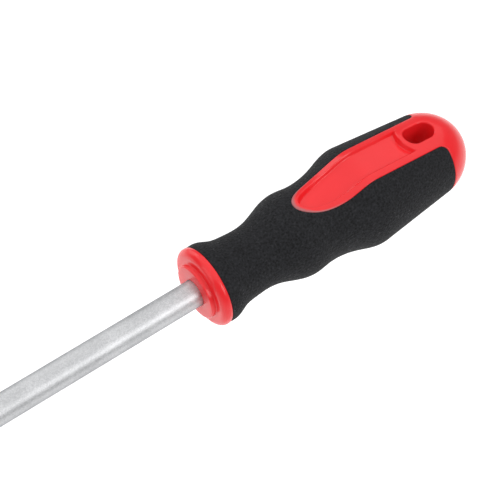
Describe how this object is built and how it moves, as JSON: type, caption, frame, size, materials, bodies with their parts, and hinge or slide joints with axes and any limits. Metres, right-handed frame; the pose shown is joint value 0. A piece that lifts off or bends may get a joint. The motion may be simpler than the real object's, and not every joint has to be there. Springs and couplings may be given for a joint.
{
  "type": "screwdriver",
  "caption": "Heavy cross-point screwdriver: round steel blade in an overmoulded red and black handle with recessed panels and a hanging slot.",
  "frame": {"origin": "centre of the blunt end of the blade's point", "axes": "+X runs from the point along the blade to the handle's domed cap; +Z and -Z face out of the two recessed panels, along the hanging slot; Y runs through the grip's two lobes"},
  "size_m": [0.3212, 0.0396, 0.0378],
  "materials": {
    "blade_steel": "fine satin plating, slightly mottled",
    "core_plastic": "natural, unseen inside the handle",
    "red_plastic": "smooth, semi-gloss",
    "black_rubber": "fine pebbled grain, matte"
  },
  "bodies": {
    "root": {"blade": "blade_steel", "inner_core": "core_plastic", "handle_body": "red_plastic", "soft_grip": "black_rubber"}
  },
  "joints": []
}
